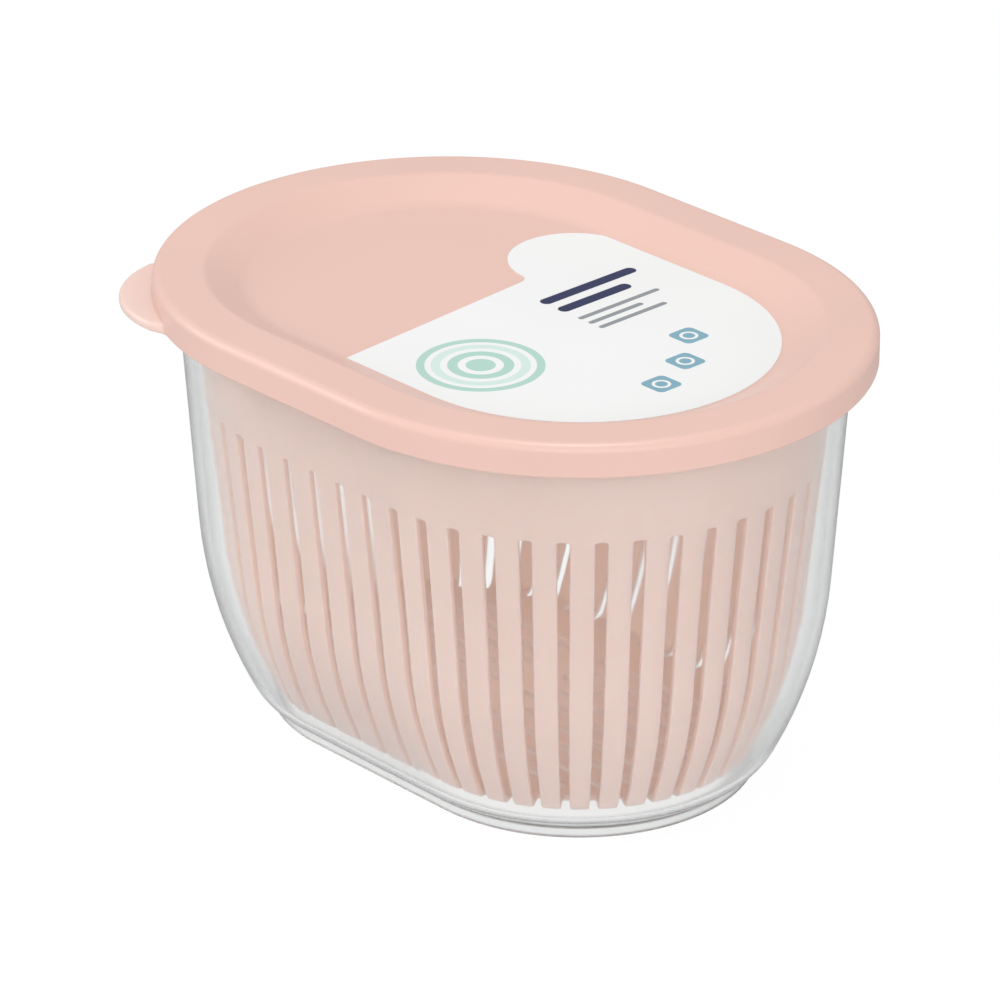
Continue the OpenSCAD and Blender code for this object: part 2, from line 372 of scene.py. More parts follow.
class NodeTree:
    """Writes a node tree: put() adds a node, fills its inputs in order and
    returns its first output."""

    def __init__(self, tree):
        self.tree = tree

    def link(self, source, socket):
        """Joins an output to an input."""
        self.tree.links.new(source, socket)

    def node(self, kind, *values, **settings):
        """An added node, with its settings made and its inputs filled in order."""
        node = self.tree.nodes.new(kind)
        for key, value in settings.items():
            setattr(node, key, value)
        sockets = [s for s in node.inputs if s.enabled]
        for socket, value in zip(sockets, values):
            if isinstance(value, bpy.types.NodeSocket):
                self.link(value, socket)
            elif value is not None:
                socket.default_value = value
        return node

    def put(self, kind, *values, **settings):
        """The first output of an added node."""
        node = self.node(kind, *values, **settings)
        return next(s for s in node.outputs if s.enabled)

    def math(self, operation, *values):
        """A number worked out from others."""
        return self.put("ShaderNodeMath", *values, operation=operation)

    def vector(self, operation, *values):
        """A vector worked out from others."""
        return self.put("ShaderNodeVectorMath", *values, operation=operation)

    def length(self, vector):
        """A vector's length."""
        return self.node("ShaderNodeVectorMath", vector, operation="LENGTH").outputs["Value"]

    def xyz(self, *values):
        """A vector from its parts."""
        return self.put("ShaderNodeCombineXYZ", *values)

    def parts(self, vector):
        """A vector's X, Y and Z."""
        return self.node("ShaderNodeSeparateXYZ", vector).outputs

    def mix(self, share, first, second, **settings):
        """A second value or colour mixed into a first one."""
        return self.put("ShaderNodeMix", share, first, second, **settings)

    def place(self):
        """A shaded point in its object's own coordinates."""
        return self.node("ShaderNodeTexCoord").outputs["Object"]

    def named(self, name, kind="FLOAT"):
        """A named attribute of the mesh."""
        return self.put("GeometryNodeInputNamedAttribute", name, data_type=kind)


def add_sockets(tree, way, sockets):
    """Adds the inputs or outputs of a tree, each a name and a kind."""
    for name, kind in sockets:
        tree.interface.new_socket(name, in_out=way, socket_type="NodeSocket" + kind)


def geometry_tree(name, inputs):
    """A geometry node tree that takes and gives one geometry: its writer and inputs."""
    tree = bpy.data.node_groups.new(name, "GeometryNodeTree")
    add_sockets(tree, "INPUT", [("Geometry", "Geometry"), *inputs])
    add_sockets(tree, "OUTPUT", [("Geometry", "Geometry")])
    return NodeTree(tree), tree.nodes.new("NodeGroupInput").outputs


def finish_tree(nodes, geometry, material):
    """Ends a tree: instances made real, doubles merged, with its material."""
    real = nodes.put("GeometryNodeRealizeInstances", geometry)
    merged = nodes.put("GeometryNodeMergeByDistance", real, True, MERGE_WITHIN * MM)
    dressed = nodes.put("GeometryNodeSetMaterial", merged, True, material)
    nodes.link(dressed, nodes.node("NodeGroupOutput").inputs[0])


def run_tree(name, start, tree, values, helpers):
    """Runs a tree on an object and returns its result as a plain mesh object."""
    modifier = start.modifiers.new(name, "NODES")
    modifier.node_group = tree
    for item in tree.interface.items_tree:
        if item.in_out == "INPUT" and item.name in values:
            modifier[item.identifier] = values[item.name]
    bpy.context.view_layer.update()
    graph = bpy.context.evaluated_depsgraph_get()
    mesh = bpy.data.meshes.new_from_object(start.evaluated_get(graph))
    mesh.name = name
    mesh.materials.clear()
    mesh.materials.append(values["Material"])
    for piece in [start, *helpers]:
        bpy.data.objects.remove(piece)
    return new_object(name, mesh)


def point_mesh(name, points):
    """An object of loose points in millimetres, read by index in a geometry node tree."""
    mesh = bpy.data.meshes.new(name)
    mesh.from_pydata([Vector(point) * MM for point in points], [], [])
    return new_object(name, mesh)


# Pieces

def oval_direction(nodes, column, steps):
    """End axis, outward direction and angle of a column of a sweep: columns 0 to steps
    go round the +X end, and the next steps + 1 round the -X end."""
    turn = nodes.math("MODULO", column, nodes.math("MULTIPLY_ADD", steps, 2.0, 2.0))
    far = nodes.math("GREATER_THAN", turn, steps)
    angle = nodes.math("MULTIPLY_ADD", nodes.math("DIVIDE", nodes.math(
        "SUBTRACT", turn, far), steps), math.pi, -math.pi / 2)
    end = nodes.xyz(nodes.math("MULTIPLY_ADD", far, -2 * STRAIGHT * MM, STRAIGHT * MM))
    outward = nodes.xyz(nodes.math("COSINE", angle), nodes.math("SINE", angle))
    return end, outward, nodes.math("MULTIPLY", far, angle)


def tab_reach(nodes, angle):
    """How far the thumb tab's round plate stands out of the skirt at an angle about the
    -X end, softened where the two meet."""
    centre = LID_R + TAB_REACH - TAB_R
    off = nodes.math("SUBTRACT", angle, TAB_ANGLE)
    across = nodes.math("MULTIPLY", nodes.math("SINE", off), centre)
    inside = nodes.math("MAXIMUM", nodes.math(
        "SUBTRACT", TAB_R ** 2, nodes.math("MULTIPLY", across, across)), 0.0)
    reach = nodes.math("MULTIPLY_ADD", nodes.math("COSINE", off), centre,
                       nodes.math("SQRT", inside))
    return nodes.math("SMOOTH_MAX", nodes.math("SUBTRACT", reach, LID_R), 0.0, TAB_BLEND)


def swept_tree():
    """Sweeps a section round the oval. The section is points (reach, height); a second
    one, points (reach, height, share of the tab's reach), takes over at the thumb tab."""
    nodes, inputs = geometry_tree("swept round the oval", [
        ("Steps", "Int"), ("Tab Section", "Object"), ("Tab", "Float"), ("Material", "Material")])
    section = inputs["Geometry"]
    count = nodes.put("GeometryNodeAttributeDomainSize", section, component="MESH")
    grid = nodes.put("GeometryNodeMeshGrid", 1.0, 1.0, nodes.math(
        "MULTIPLY_ADD", inputs["Steps"], 2.0, 3.0), count)
    index = nodes.put("GeometryNodeInputIndex")
    column = nodes.math("FLOOR", nodes.math("DIVIDE", nodes.math("ADD", index, 0.5), count))
    row = nodes.math("SUBTRACT", index, nodes.math("MULTIPLY", column, count))
    end, outward, angle = oval_direction(nodes, column, inputs["Steps"])
    place = nodes.put("GeometryNodeInputPosition")
    plain = nodes.put("GeometryNodeSampleIndex", section, place, row, data_type="FLOAT_VECTOR")
    tab_points = nodes.node("GeometryNodeObjectInfo", inputs["Tab Section"])
    tab = nodes.put("GeometryNodeSampleIndex", tab_points.outputs["Geometry"], place, row,
                    data_type="FLOAT_VECTOR")
    extra = nodes.math("MULTIPLY", tab_reach(nodes, angle), inputs["Tab"])
    share = nodes.put("ShaderNodeMapRange", extra, *TAB_RISE, interpolation_type="SMOOTHSTEP")
    stretched = nodes.vector(
        "MULTIPLY_ADD", nodes.xyz(nodes.parts(tab)["Z"]), nodes.xyz(extra), tab)
    reach, height, _ = nodes.parts(nodes.mix(
        share, plain, stretched, data_type="VECTOR", clamp_factor=False))
    reached = nodes.vector("MULTIPLY_ADD", outward, nodes.xyz(reach, reach, reach), end)
    final = nodes.vector("ADD", reached, nodes.xyz(None, None, height))
    swept = nodes.put("GeometryNodeSetPosition", grid, True, final)
    finish_tree(nodes, swept, inputs["Material"])
    return nodes.tree


def tidy_mesh(piece):
    """Merges doubles, drops faces with no area and turns all faces outwards."""
    mesh = bmesh.new()
    mesh.from_mesh(piece.data)
    bmesh.ops.remove_doubles(mesh, verts=mesh.verts, dist=MERGE_WITHIN * MM)
    bmesh.ops.dissolve_degenerate(mesh, edges=mesh.edges, dist=NO_AREA_WITHIN * MM)
    bmesh.ops.recalc_face_normals(mesh, faces=mesh.faces)
    mesh.to_mesh(piece.data)
    mesh.free()


def swept(name, section, steps, material, tab_section=None):
    """A piece whose section is swept round the oval."""
    start = point_mesh(f"{name} section", [(*point, 0) for point in section])
    tab = point_mesh(f"{name} tab section", tab_section or [])
    piece = run_tree(name, start, swept_tree(), {
        "Steps": steps, "Tab Section": tab, "Tab": float(bool(tab_section)),
        "Material": material}, [tab])
    tidy_mesh(piece)
    smooth(piece)
    return piece


def container_piece(material):
    """The clear container."""
    piece = swept("clear_container", container_section(), CONTAINER_STEPS, material)
    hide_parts("container")
    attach(piece, "vessel")


def lid_sections():
    """The lid's section as an open outline from the middle of its top to the middle of
    its underside, and the same outline where the thumb tab stands out of the skirt."""
    skirt_inner = LID_R - LID_WALL
    recess = LID_R - RIM_FLAT - RECESS_SLOPE
    rim = LID_R - RIM_FLAT
    recess_z = HEIGHT - RECESS_DEPTH
    slope = math.hypot(RECESS_SLOPE, RECESS_DEPTH)
    shift = LID_WALL * (slope - RECESS_DEPTH) / RECESS_SLOPE
    before = round_corners([
        (0, recess_z, 0), (recess, recess_z, RECESS_FOOT_ROUND), (rim, HEIGHT, RECESS_ROUND),
        (LID_R, HEIGHT, RIM_ROUND), (LID_R, SKIRT_BOTTOM + TAB_THICKNESS + TAB_FILLET, 0)])
    bead_low = SKIRT_BOTTOM + BEAD_UP
    after = round_corners([
        (LID_R - EDGE_ROUND - TAB_UNDER, SKIRT_BOTTOM, 0), (skirt_inner, SKIRT_BOTTOM, EDGE_ROUND),
        (skirt_inner, bead_low, 0),
        (skirt_inner - BEAD_DEPTH, bead_low + BEAD_DEPTH, BEAD_ROUND),
        (skirt_inner - BEAD_DEPTH, bead_low + BEAD_HEIGHT - BEAD_DEPTH, BEAD_ROUND),
        (skirt_inner, bead_low + BEAD_HEIGHT, 0),
        (skirt_inner, HEIGHT - LID_WALL, RIM_ROUND - LID_WALL),
        (rim + shift, HEIGHT - LID_WALL, RECESS_ROUND),
        (recess + shift, recess_z - LID_WALL, RECESS_ROUND + LID_WALL),
        (0, recess_z - LID_WALL, 0)])
    top = SKIRT_BOTTOM + TAB_THICKNESS
    tab = [(LID_R + TAB_FILLET * (1 - math.cos(a)), top + TAB_FILLET * (1 - math.sin(a)), 0)
           for a in quarter_turn(TAB_STEPS)]
    for k in range(1, TAB_ROWS + 1):
        share = k / TAB_ROWS
        tab.append((LID_R + TAB_FILLET * (1 - share) - TAB_ROUND * share, top, share))
    flat = len(tab)
    for level, sign in ((top - TAB_ROUND, 1), (SKIRT_BOTTOM + TAB_ROUND, -1)):
        angles = quarter_turn(TAB_STEPS) if sign > 0 else reversed(quarter_turn(TAB_STEPS))
        tab += [(LID_R - TAB_ROUND * (1 - math.sin(a)), level + sign * TAB_ROUND * math.cos(a), 1)
                for a in angles]
    tip = len(tab)
    for k in range(1, TAB_ROWS):
        share = 1 - k / TAB_ROWS
        tab.append((LID_R - EDGE_ROUND - TAB_UNDER * (1 - share), SKIRT_BOTTOM, share))
    wall_top, wall_low = top + TAB_FILLET, SKIRT_BOTTOM + EDGE_ROUND
    skirt = [(LID_R, wall_top + (wall_low - wall_top) * k / flat) for k in range(flat)]
    skirt += [(LID_R - EDGE_ROUND * (1 - math.cos(a)), wall_low - EDGE_ROUND * math.sin(a))
              for a in quarter_turn(tip - flat - 1)]
    skirt += [(LID_R - EDGE_ROUND - TAB_UNDER * k / TAB_ROWS, SKIRT_BOTTOM)
              for k in range(1, TAB_ROWS)]
    start, end = [tuple(p) for p in before[:-1]], [tuple(p) for p in after]
    return start + skirt + end, [(*p, 0) for p in start] + tab + [(*p, 0) for p in end]


def lid_piece(material):
    """The soft snap lid with its thumb tab."""
    section, tab_section = lid_sections()
    piece = swept("snap_lid", section, LID_STEPS, material, tab_section)
    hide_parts("lid")
    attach(piece, "lid")


def basket_outline(inset):
    """The basket's wall face at a depth, from the ring round the floor up to the band
    above the slots, without the two ends of the slots."""
    return wall_face(basket_upper, basket_lower, BASKET_BOTTOM, FLANGE_TOP, BASKET_BELLY_R,
                     BASKET_CORNER_R, inset)[1:-1]


def slot_half_width(height):
    """Half of a slot's width, which narrows downwards."""
    rise = (height - BASKET_BOTTOM + 1) / (SLOT_TOP - BASKET_BOTTOM + 1)
    return (SLOT_BOTTOM_W + (SLOT_TOP_W - SLOT_BOTTOM_W) * rise) / 2


def edge_steps(thickness, radius):
    """Loops through a wall's thickness at a hole, as (how far outside the hole's own
    outline, depth), with both edges rounded."""
    steps = [(radius * (1 - math.sin(a)), radius * (1 - math.cos(a)))
             for a in quarter_turn(EDGE_STEPS)]
    return steps + [(out, thickness - depth) for out, depth in reversed(steps)]


def end_point(turn):
    """Across and along shares of a squared-off round slot end."""
    across = math.copysign(abs(math.sin(turn)) ** END_SQUARE, turn)
    return across, abs(math.cos(turn)) ** END_SQUARE


def basket_cell():
    """One slot with half a rib on each side, drawn straight: x across, y reach and
    z height, with each vertex's share of the way to the rib's middle."""
    mesh = bmesh.new()
    rib_share = mesh.verts.layers.float.new("rib")
    half_pitch = oval_length(BASKET_MOUTH) / SLOTS / 2
    slot_end = BASKET_FOOT - SLOT_UNDER

    def vertex(x, reach, height, share=0.0):
        """A vertex with its share of the way to the rib's middle."""
        made = mesh.verts.new((x * MM, reach * MM, height * MM))
        made[rib_share] = share
        return made

    def rib_side(sign, edge, reach, height):
        """From the rib's middle up to, but without, the slot's edge."""
        return [vertex(sign * half_pitch, reach, height, 1.0),
                vertex(sign * (half_pitch + edge) / 2, reach, height, 0.5)]

    def full_row(reach, height, near):
        """A row across the whole cell, spaced as at the slot's end near it."""
        edge = slot_half_width(near) + SLOT_ROUND
        middle = [vertex(edge * end_point(turn)[0], reach, height) for turn in END_TURNS]
        return rib_side(-1, edge, reach, height) + middle + rib_side(
            1, edge, reach, height)[::-1]

    def strip(a, b):
        """Faces between two rows."""
        for i in range(len(a) - 1):
            mesh.faces.new((a[i], a[i + 1], b[i + 1], b[i]))

    loops, outlines = [], []
    for out, depth in edge_steps(BASKET_WALL, SLOT_ROUND):
        floor_z = BASKET_BOTTOM + depth
        upper = inset_line(basket_upper, depth)
        rows = [Vector((slot_end + SLOT_END, floor_z)), *basket_outline(depth),
                Vector(on_line(upper, SLOT_TOP - SLOT_END))]
        left = [vertex(-slot_half_width(p.y) - out, p.x, p.y) for p in rows]
        right = [vertex(slot_half_width(p.y) + out, p.x, p.y) for p in rows]
        top, bottom = [], []
        for turn in END_TURNS[1:-1]:
            across, along = end_point(turn)
            z = SLOT_TOP - SLOT_END + (SLOT_END + out) * along
            top.append(vertex(across * (slot_half_width(z) + out), on_line(upper, z)[0], z))
            bottom.append(vertex(across * (slot_half_width(floor_z) + out),
                                 slot_end + SLOT_END - (SLOT_END + out) * along, floor_z))
        loops.append((left, top, right, bottom))
        outlines.append(rows)
    for before, after in zip(loops, loops[1:]):
        a, b = ([*left, *top, *right[::-1], *bottom[::-1]] for left, top, right, bottom
                in (before, after))
        strip([*a, a[0]], [*b, b[0]])

    faces = []
    for (left, top, right, bottom), rows, depth in ((loops[0], outlines[0], 0),
                                                    (loops[-1], outlines[-1], BASKET_WALL)):
        low = full_row(slot_end - FLOOR_RING, BASKET_BOTTOM + depth, BASKET_BOTTOM)
        high_z = SLOT_TOP + BAND_RING
        high = full_row(on_line(inset_line(basket_upper, depth), high_z)[0], high_z, SLOT_TOP)
        left_rows = [[*rib_side(-1, slot_half_width(p.y) + SLOT_ROUND, p.x, p.y), edge]
                     for p, edge in zip(rows, left)]
        right_rows = [[edge, *rib_side(1, slot_half_width(p.y) + SLOT_ROUND, p.x, p.y)[::-1]]
                      for p, edge in zip(rows, right)]
        for side_rows in (left_rows, right_rows):
            for a, b in zip(side_rows, side_rows[1:]):
                strip(a, b)
        strip(low, [*left_rows[0], *bottom, *right_rows[0]])
        strip([*left_rows[-1], *top, *right_rows[-1]], high)
        faces.append(high)
    flange = round_corners([
        (*on_line(basket_upper, SLOT_TOP + BAND_RING), 0),
        (*on_line(basket_upper, RIM_TOP), FLANGE_FILLET),
        (FLANGE_R, RIM_TOP, EDGE_ROUND), (FLANGE_R, FLANGE_TOP, EDGE_ROUND),
        (*on_line(inset_line(basket_upper, BASKET_WALL), FLANGE_TOP), EDGE_ROUND),
        (*on_line(inset_line(basket_upper, BASKET_WALL), SLOT_TOP + BAND_RING), 0)])
    rows = [faces[0], *[full_row(p.x, p.y, SLOT_TOP) for p in flange[1:-1]], faces[1]]
    for a, b in zip(rows, rows[1:]):
        strip(a, b)
    data = bpy.data.meshes.new("basket cell")
    mesh.to_mesh(data)
    mesh.free()
    return new_object("basket cell", data)


def oval_length(radius):
    """Length round the oval at a reach from its end axes."""
    return 4 * STRAIGHT + 2 * math.pi * radius


def oval_frame(nodes, along):
    """Spine point, outward and forward directions at a length along the oval, from the
    middle of its +Y side towards +X."""
    radius, straight = BASKET_MOUTH * MM, STRAIGHT * MM
    half = oval_length(BASKET_MOUTH) * MM / 2
    turns = nodes.math("FLOOR", nodes.math("DIVIDE", along, half))
    length = nodes.math("SUBTRACT", along, nodes.math("MULTIPLY", turns, half))
    sign = nodes.math("MULTIPLY_ADD", nodes.math("PINGPONG", turns, 1.0), -2.0, 1.0)
    turn = nodes.math("DIVIDE", nodes.put(
        "ShaderNodeClamp", nodes.math("SUBTRACT", length, straight), 0.0, math.pi * radius), radius)
    x = nodes.math("SUBTRACT", nodes.math("MINIMUM", length, straight), nodes.math(
        "MAXIMUM", nodes.math("SUBTRACT", length, half - straight), 0.0))
    sine = nodes.math("MULTIPLY", nodes.math("SINE", turn), sign)
    cosine = nodes.math("MULTIPLY", nodes.math("COSINE", turn), sign)
    spine = nodes.xyz(nodes.math("MULTIPLY", x, sign))
    outward = nodes.xyz(sine, cosine)
    forward = nodes.xyz(cosine, nodes.math("MULTIPLY", sine, -1.0))
    return spine, outward, forward


def scaled(nodes, vector, factor):
    """A vector times a number."""
    return nodes.put("ShaderNodeVectorMath", vector, factor, operation="SCALE")


def repeated_tree():
    """Repeats a straight cell along the oval and bends each one into its place, so that
    a slot keeps its width and the ribs take up the curve."""
    nodes, inputs = geometry_tree("cells round the oval", [
        ("Count", "Int"), ("Material", "Material")])
    pitch = oval_length(BASKET_MOUTH) / SLOTS * MM
    points = nodes.put("GeometryNodePoints", inputs["Count"])
    placed = nodes.put("GeometryNodeInstanceOnPoints", points, True, inputs["Geometry"])
    counted = nodes.put("GeometryNodeStoreNamedAttribute", placed, True, "cell", nodes.put(
        "GeometryNodeInputIndex"), data_type="INT", domain="INSTANCE")
    real = nodes.put("GeometryNodeRealizeInstances", counted)
    across, reach, height = nodes.parts(nodes.put("GeometryNodeInputPosition"))
    centre = nodes.math("MULTIPLY", nodes.math("ADD", nodes.named("cell", "INT"), 0.5), pitch)
    border = nodes.math("MULTIPLY_ADD", nodes.math("SIGN", across), pitch / 2, centre)
    spine, outward, forward = oval_frame(nodes, centre)
    at_slot = nodes.vector("ADD", nodes.vector("ADD", spine, scaled(nodes, outward, reach)),
                           scaled(nodes, forward, across))
    spine, outward, _ = oval_frame(nodes, border)
    at_rib = nodes.vector("ADD", spine, scaled(nodes, outward, reach))
    flat = nodes.mix(
        nodes.named("rib"), at_slot, at_rib, data_type="VECTOR", clamp_factor=False)
    axis = nodes.xyz(nodes.put(
        "ShaderNodeClamp", nodes.parts(flat)["X"], -STRAIGHT * MM, STRAIGHT * MM))
    away = nodes.vector("NORMALIZE", nodes.vector("SUBTRACT", flat, axis))
    final = nodes.vector("ADD", nodes.vector("ADD", axis, scaled(nodes, away, reach)),
                         nodes.xyz(None, None, height))
    bent = nodes.put("GeometryNodeSetPosition", real, True, final)
    finish_tree(nodes, bent, inputs["Material"])
    return nodes.tree


def slit_outline(row, side, grow):
    """Outline of a floor slit with round corners, grown outwards by a length."""
    y = row * SLIT_PITCH
    far = STRAIGHT + math.sqrt((BASKET_FOOT - SLIT_BORDER) ** 2 - y ** 2)
    corner = SLIT_CORNER + grow
    near, far, half = SLIT_BAR / 2 - grow, far + grow, SLIT_W / 2 + grow
    outline = round_corners([(near, y - half, corner), (far, y - half, corner),
                             (far, y + half, corner), (near, y + half, corner)], closed=True)
    return [Vector((side * p.x, p.y)) for p in outline]


def add_floor(piece):
    """Fills the basket's floor inside its ring of cells, with the drain slits."""
    mesh = bmesh.new()
    mesh.from_mesh(piece.data)
    levels = {0: BASKET_BOTTOM * MM, 1: (BASKET_BOTTOM + BASKET_WALL) * MM}
    rims = {0: [], 1: []}
    for edge in mesh.edges:
        if edge.is_boundary:
            height = edge.verts[0].co.z
            rims[min(levels, key=lambda i: abs(levels[i] - height))].append(edge)
    steps = edge_steps(BASKET_WALL, SLIT_ROUND)
    for row in range(-SLIT_ROWS, SLIT_ROWS + 1):
        for side in (-1, 1):
            loops = [[mesh.verts.new((p.x * MM, p.y * MM, (BASKET_BOTTOM + depth) * MM))
                      for p in slit_outline(row, side, out)] for out, depth in steps]
            for a, b in zip(loops, loops[1:]):
                for i in range(len(a)):
                    mesh.faces.new((a[i - 1], a[i], b[i], b[i - 1]))
            for level, loop in ((0, loops[0]), (1, loops[-1])):
                rims[level] += [mesh.edges.get((loop[i - 1], loop[i])) for i in range(len(loop))]
    for level, edges in rims.items():
        bmesh.ops.triangle_fill(mesh, edges=edges, use_beauty=True, normal=(0, 0, 2 * level - 1))
    mesh.to_mesh(piece.data)
    mesh.free()


def basket_piece(material):
    """The slotted drain basket."""
    piece = run_tree("drain_basket", basket_cell(), repeated_tree(),
                     {"Count": SLOTS, "Material": material}, [])
    add_floor(piece)
    tidy_mesh(piece)
    smooth(piece)
    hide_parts("basket")
    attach(piece, "vessel")


# Materials

def new_material(name):
    """A material with an empty node tree, and the tree's writer."""
    material = bpy.data.materials.new(name)
    material.use_nodes = True
    material.node_tree.nodes.clear()
    return material, NodeTree(material.node_tree)


def value_group(name, inputs, outputs):
    """A shader node group that hands back colours, values or normals."""
    tree = bpy.data.node_groups.new(name, "ShaderNodeTree")
    add_sockets(tree, "INPUT", inputs)
    add_sockets(tree, "OUTPUT", outputs)
    out = tree.nodes.new("NodeGroupOutput")
    return NodeTree(tree), tree.nodes.new("NodeGroupInput").outputs, out.inputs


def moulded_group():
    """Moulded plastic: a fine grain in the surface and soft patches in tone and gloss."""
    nodes, inputs, outputs = value_group("moulded plastic", [
        ("Color", "Color"), ("Roughness", "Float"), ("Grain Scale", "Float"),
        ("Grain Depth", "Float")], [
        ("Color", "Color"), ("Roughness", "Float"), ("Normal", "Vector")])
    place = nodes.place()
    patches = nodes.put("ShaderNodeTexNoise", place, PATCH_SCALE, NOISE_DETAIL)
    tone = nodes.put("ShaderNodeMapRange", patches, *PATCH_RANGE, *PATCH_TONE)
    gloss = nodes.put("ShaderNodeMapRange", patches, *PATCH_RANGE, -GLOSS_CHANGE, GLOSS_CHANGE)
    grain = nodes.put("ShaderNodeTexNoise", place, inputs["Grain Scale"], NOISE_DETAIL)
    bump = nodes.node("ShaderNodeBump")
    bump.inputs["Strength"].default_value = 1.0
    nodes.link(inputs["Grain Depth"], bump.inputs["Distance"])
    nodes.link(grain, bump.inputs["Height"])
    nodes.link(nodes.vector("MULTIPLY", inputs["Color"], nodes.xyz(tone, tone, tone)),
               outputs["Color"])
    nodes.link(nodes.math("ADD", inputs["Roughness"], gloss), outputs["Roughness"])
    nodes.link(bump.outputs[0], outputs["Normal"])
    return nodes.tree


def placed(nodes, group, values):
    """A shader group in a material, with its own values."""
    made = nodes.node("ShaderNodeGroup", node_tree=group)
    for name, value in values.items():
        made.inputs[name].default_value = value
    return made


def moulded(nodes, group, colour, finish):
    """The moulded group in a material, with its colour and finish."""
    roughness, grain_scale, grain_depth = finish
    return placed(nodes, group, {
        "Color": colour, "Roughness": roughness, "Grain Scale": grain_scale,
        "Grain Depth": grain_depth * MM})


def satin(name, group, colour, finish):
    """A satin material; returns it with its tree's writer, its shader and its colour."""
    material, nodes = new_material(name)
    surface = moulded(nodes, group, colour, finish).outputs
    shader = nodes.node("ShaderNodeBsdfPrincipled")
    nodes.link(surface["Color"], shader.inputs["Base Color"])
    nodes.link(surface["Roughness"], shader.inputs["Roughness"])
    nodes.link(surface["Normal"], shader.inputs["Normal"])
    nodes.link(shader.outputs[0], nodes.node("ShaderNodeOutputMaterial").inputs["Surface"])
    return material, nodes, shader, surface["Color"]


def basket_plastic(group):
    """The basket's plastic, whose thin walls let light in."""
    material, _, shader, _ = satin("basket plastic", group, BASKET_PINK, BASKET_FINISH)
    shader.inputs["Subsurface Weight"].default_value = SUBSURFACE_WEIGHT
    shader.inputs["Subsurface Radius"].default_value = SUBSURFACE_RADIUS
    shader.inputs["Subsurface Scale"].default_value = 1.0
    return material


def painted_light_tab_group():
    """Mask of the painted light on the thin thumb tab, by how far a point lies outside the -X end.
    """
    nodes, inputs, outputs = value_group("painted tab light", [
        ("From", "Float"), ("To", "Float")], [("Mask", "Float")])
    place = nodes.parts(nodes.place())
    past_end = nodes.math("MINIMUM", nodes.math("ADD", place["X"], STRAIGHT * MM), 0.0)
    reach = nodes.length(nodes.xyz(past_end, place["Y"]))
    mask = nodes.put("ShaderNodeMapRange", reach, inputs["From"], inputs["To"],
                     interpolation_type="SMOOTHSTEP")
    nodes.link(mask, outputs["Mask"])
    return nodes.tree


def lid_plastic(group):
    """The lid's soft plastic, with painted light that makes its thumb tab paler."""
    material, nodes, shader, colour = satin("lid plastic", group, LID_PINK, LID_FINISH)
    # Painted light: the thumb tab's colour is mixed towards a paler pink.
    tab = placed(nodes, painted_light_tab_group(), {
        "From": (LID_R + TAB_PAINTED_LIGHT_EDGE) * MM, "To": (LID_R + TAB_FILLET) * MM})
    nodes.link(nodes.mix(tab.outputs["Mask"], colour, TAB_PAINTED_LIGHT_PINK, data_type="RGBA"),
               shader.inputs["Base Color"])
    return material


def frost_group():
    """Mask of the container's satin standing ring and the lowest part of its wall, by
    height and by distance from the spine between the end axes."""
    nodes, inputs, outputs = value_group("satin foot", [
        ("From", "Float"), ("To", "Float"), ("Inner Reach", "Float"), ("Outer Reach", "Float")],
        [("Mask", "Float")])
    place = nodes.parts(nodes.place())
    low = nodes.put("ShaderNodeMapRange", place["Z"], inputs["From"], inputs["To"],
                    interpolation_type="SMOOTHSTEP")
    past_end = nodes.math("MAXIMUM", nodes.math(
        "SUBTRACT", nodes.math("ABSOLUTE", place["X"]), STRAIGHT * MM), 0.0)
    reach = nodes.length(nodes.xyz(past_end, place["Y"]))
    outer = nodes.put("ShaderNodeMapRange", reach, inputs["Inner Reach"], inputs["Outer Reach"])
    nodes.link(nodes.math("MULTIPLY", low, outer), outputs["Mask"])
    return nodes.tree


def clear_plastic(group):
    """Clear polished plastic that lets lamps through, with painted grey shade towards its
    outline; its standing ring has a satin finish."""
    material, nodes = new_material("clear plastic")
    # Painted shade: the colour greys where the surface turns away from the camera.
    facing = nodes.node("ShaderNodeLayerWeight", 0.5).outputs["Facing"]
    edge = nodes.put("ShaderNodeMapRange", facing, *EDGE_PAINTED_SHADE_FACING, interpolation_type="SMOOTHSTEP")
    tint_with_painted_edge_shade = nodes.mix(edge, CLEAR_TINT, EDGE_PAINTED_SHADE, data_type="RGBA")
    begin, full = FROST_HEIGHTS
    frost = placed(nodes, frost_group(), {
        "From": begin * MM, "To": full * MM, "Inner Reach": (FOOT_IN - FROST_BORDER) * MM,
        "Outer Reach": FOOT_IN * MM}).outputs["Mask"]
    surface = moulded(nodes, group, CLEAR_TINT, CLEAR_FINISH)
    shader = nodes.node("ShaderNodeBsdfPrincipled")
    nodes.link(nodes.mix(frost, tint_with_painted_edge_shade, FROST_TINT, data_type="RGBA", blend_type="MULTIPLY"),
               shader.inputs["Base Color"])
    nodes.link(nodes.mix(frost, surface.outputs["Roughness"], FROST_ROUGHNESS),
               shader.inputs["Roughness"])
    shader.inputs["IOR"].default_value = PLASTIC_IOR
    shader.inputs["Transmission Weight"].default_value = 1.0
    shadow = nodes.node("ShaderNodeLightPath").outputs["Is Shadow Ray"]
    mixed = nodes.put("ShaderNodeMixShader", shadow, shader.outputs[0],
                      nodes.put("ShaderNodeBsdfTransparent"))
    nodes.link(mixed, nodes.node("ShaderNodeOutputMaterial").inputs["Surface"])
    return material


def from_centre(nodes, centre):
    """A place on the label, measured from the centre of a printed shape."""
    return nodes.vector("MULTIPLY", nodes.vector("SUBTRACT", nodes.place(), centre), (1, 1, 0))


def ink_up_to(nodes, distance, mask):
    """Ends a printed shape's group: ink where the distance to its outline is negative."""
    ink = nodes.put("ShaderNodeMapRange", distance, PRINT_SOFT * MM, -PRINT_SOFT * MM)
    nodes.link(ink, mask)
    return nodes.tree


